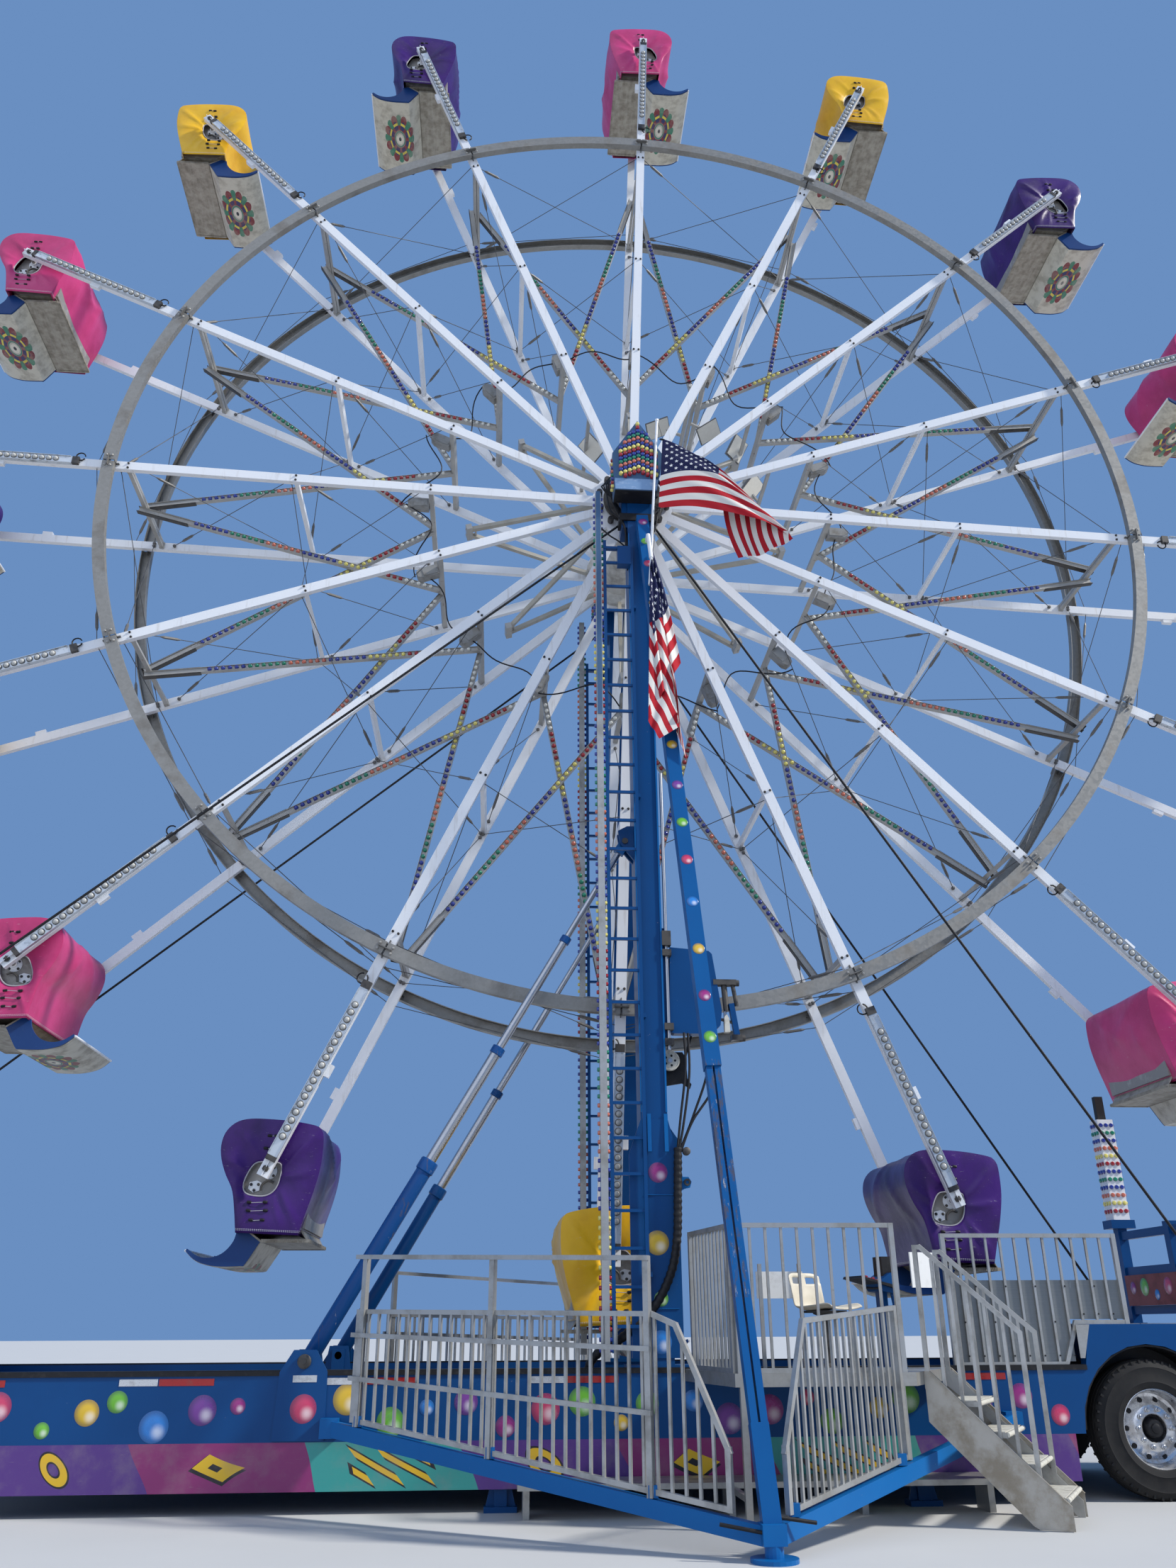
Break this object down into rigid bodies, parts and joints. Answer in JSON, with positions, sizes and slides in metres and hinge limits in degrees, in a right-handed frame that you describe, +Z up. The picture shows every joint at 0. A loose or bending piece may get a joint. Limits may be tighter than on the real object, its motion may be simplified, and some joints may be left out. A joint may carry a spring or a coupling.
{
  "type": "travelling ferris wheel",
  "caption": "Trailer-mounted ferris wheel with covered two-rider seats that stay level as it turns.",
  "frame": {"origin": "on the ground under the hub, half way between the masts", "axes": "+Z up, +X along the trailer towards its wheels, -Y the boarding side"},
  "size_m": [17.7628, 7.58, 18.7878],
  "materials": {
    "spoke_white": "worn gloss white paint",
    "rim_zinc": "dull galvanised",
    "strip_grey": "dull grey",
    "hub_dark": "oily dark grey",
    "tower_blue": "gloss blue paint",
    "panel_blue": "satin steel blue paint",
    "aluminium": "satin",
    "chrome": "polished",
    "pole_white": "gloss white",
    "flag_cloth": "woven",
    "guy_black": "dark greased wire rope",
    "skirt_paint": "gloss purple and teal paint",
    "chair_plastic": "moulded cream",
    "tyre_black": "road-worn rubber",
    "vinyl_pink": "glossy coated vinyl",
    "vinyl_yellow": "glossy coated vinyl",
    "vinyl_purple": "glossy coated vinyl"
  },
  "bodies": {
    "base": {"near_mast": "tower_blue", "far_mast": "tower_blue", "near_ladder": "tower_blue", "far_ladder": "tower_blue", "near_strut": "tower_blue", "far_strut": "tower_blue", "chassis": "tower_blue", "near_outrigger": "tower_blue", "far_outrigger": "tower_blue", "near_head_panel": "panel_blue", "far_head_panel": "panel_blue", "drive_unit": "panel_blue", "rear_frame": "panel_blue", "front_frame": "panel_blue", "control_console": "panel_blue", "near_light_column": "aluminium", "far_light_column": "aluminium", "platform": "aluminium", "stair": "aluminium", "near_left_fence": "aluminium", "far_left_fence": "aluminium", "near_right_fence": "aluminium", "deck_fence_left": "aluminium", "deck_fence_front": "aluminium", "deck_fence_right": "aluminium", "near_lift_cylinder": "chrome", "far_lift_cylinder": "chrome", "flag_pole": "pole_white", "upper_flag": "flag_cloth", "lower_flag": "flag_cloth", "near_guys": "guy_black", "far_guys": "guy_black", "near_skirt": "skirt_paint", "far_skirt": "skirt_paint", "operator_chair": "chair_plastic", "front_axle": "tyre_black", "rear_axle": "tyre_black"},
    "wheel": {"near_spokes": "spoke_white", "far_spokes": "spoke_white", "near_rim": "rim_zinc", "far_rim": "rim_zinc", "even_light_frame": "strip_grey", "odd_light_frame": "strip_grey", "hub": "hub_dark"},
    "seat_01_body": {"seat_01": "vinyl_pink"},
    "seat_02_body": {"seat_02": "vinyl_yellow"},
    "seat_03_body": {"seat_03": "vinyl_purple"},
    "seat_04_body": {"seat_04": "vinyl_pink"},
    "seat_05_body": {"seat_05": "vinyl_yellow"},
    "seat_06_body": {"seat_06": "vinyl_purple"},
    "seat_07_body": {"seat_07": "vinyl_pink"},
    "seat_08_body": {"seat_08": "vinyl_purple"},
    "seat_09_body": {"seat_09": "vinyl_yellow"},
    "seat_10_body": {"seat_10": "vinyl_purple"},
    "seat_11_body": {"seat_11": "vinyl_pink"},
    "seat_12_body": {"seat_12": "vinyl_yellow"},
    "seat_13_body": {"seat_13": "vinyl_purple"},
    "seat_14_body": {"seat_14": "vinyl_pink"},
    "seat_15_body": {"seat_15": "vinyl_yellow"},
    "seat_16_body": {"seat_16": "vinyl_purple"}
  },
  "joints": [
    {"name": "wheel_spin", "type": "hinge", "parent": "base", "child": "wheel", "pos_m": [0, 0, 10.1], "axis": [0, 1, 0], "continuous": true},
    {"name": "seat_01_swing", "type": "hinge", "parent": "wheel", "child": "seat_01_body", "pos_m": [0.32068, 0, 18.32775], "axis": [0, 1, 0], "continuous": true},
    {"name": "seat_02_swing", "type": "hinge", "parent": "wheel", "child": "seat_02_body", "pos_m": [3.44489, 0, 17.57873], "axis": [0, 1, 0], "continuous": true},
    {"name": "seat_03_swing", "type": "hinge", "parent": "wheel", "child": "seat_03_body", "pos_m": [6.04466, 0, 15.69114], "axis": [0, 1, 0], "continuous": true},
    {"name": "seat_04_swing", "type": "hinge", "parent": "wheel", "child": "seat_04_body", "pos_m": [7.72417, 0, 12.95235], "axis": [0, 1, 0], "continuous": true},
    {"name": "seat_05_swing", "type": "hinge", "parent": "wheel", "child": "seat_05_body", "pos_m": [8.22775, 0, 9.77932], "axis": [0, 1, 0], "continuous": true},
    {"name": "seat_06_swing", "type": "hinge", "parent": "wheel", "child": "seat_06_body", "pos_m": [7.47873, 0, 6.65511], "axis": [0, 1, 0], "continuous": true},
    {"name": "seat_07_swing", "type": "hinge", "parent": "wheel", "child": "seat_07_body", "pos_m": [5.59114, 0, 4.05534], "axis": [0, 1, 0], "continuous": true},
    {"name": "seat_08_swing", "type": "hinge", "parent": "wheel", "child": "seat_08_body", "pos_m": [2.85235, 0, 2.37583], "axis": [0, 1, 0], "continuous": true},
    {"name": "seat_09_swing", "type": "hinge", "parent": "wheel", "child": "seat_09_body", "pos_m": [-0.32068, 0, 1.87225], "axis": [0, 1, 0], "continuous": true},
    {"name": "seat_10_swing", "type": "hinge", "parent": "wheel", "child": "seat_10_body", "pos_m": [-3.44489, 0, 2.62127], "axis": [0, 1, 0], "continuous": true},
    {"name": "seat_11_swing", "type": "hinge", "parent": "wheel", "child": "seat_11_body", "pos_m": [-6.04466, 0, 4.50886], "axis": [0, 1, 0], "continuous": true},
    {"name": "seat_12_swing", "type": "hinge", "parent": "wheel", "child": "seat_12_body", "pos_m": [-7.72417, 0, 7.24765], "axis": [0, 1, 0], "continuous": true},
    {"name": "seat_13_swing", "type": "hinge", "parent": "wheel", "child": "seat_13_body", "pos_m": [-8.22775, 0, 10.42068], "axis": [0, 1, 0], "continuous": true},
    {"name": "seat_14_swing", "type": "hinge", "parent": "wheel", "child": "seat_14_body", "pos_m": [-7.47873, 0, 13.54489], "axis": [0, 1, 0], "continuous": true},
    {"name": "seat_15_swing", "type": "hinge", "parent": "wheel", "child": "seat_15_body", "pos_m": [-5.59114, 0, 16.14466], "axis": [0, 1, 0], "continuous": true},
    {"name": "seat_16_swing", "type": "hinge", "parent": "wheel", "child": "seat_16_body", "pos_m": [-2.85235, 0, 17.82417], "axis": [0, 1, 0], "continuous": true}
  ],
  "couplings": [
    {"joint": "seat_01_swing", "follows": "wheel_spin", "ratio": -1},
    {"joint": "seat_02_swing", "follows": "wheel_spin", "ratio": -1},
    {"joint": "seat_03_swing", "follows": "wheel_spin", "ratio": -1},
    {"joint": "seat_04_swing", "follows": "wheel_spin", "ratio": -1},
    {"joint": "seat_05_swing", "follows": "wheel_spin", "ratio": -1},
    {"joint": "seat_06_swing", "follows": "wheel_spin", "ratio": -1},
    {"joint": "seat_07_swing", "follows": "wheel_spin", "ratio": -1},
    {"joint": "seat_08_swing", "follows": "wheel_spin", "ratio": -1},
    {"joint": "seat_09_swing", "follows": "wheel_spin", "ratio": -1},
    {"joint": "seat_10_swing", "follows": "wheel_spin", "ratio": -1},
    {"joint": "seat_11_swing", "follows": "wheel_spin", "ratio": -1},
    {"joint": "seat_12_swing", "follows": "wheel_spin", "ratio": -1},
    {"joint": "seat_13_swing", "follows": "wheel_spin", "ratio": -1},
    {"joint": "seat_14_swing", "follows": "wheel_spin", "ratio": -1},
    {"joint": "seat_15_swing", "follows": "wheel_spin", "ratio": -1},
    {"joint": "seat_16_swing", "follows": "wheel_spin", "ratio": -1}
  ]
}
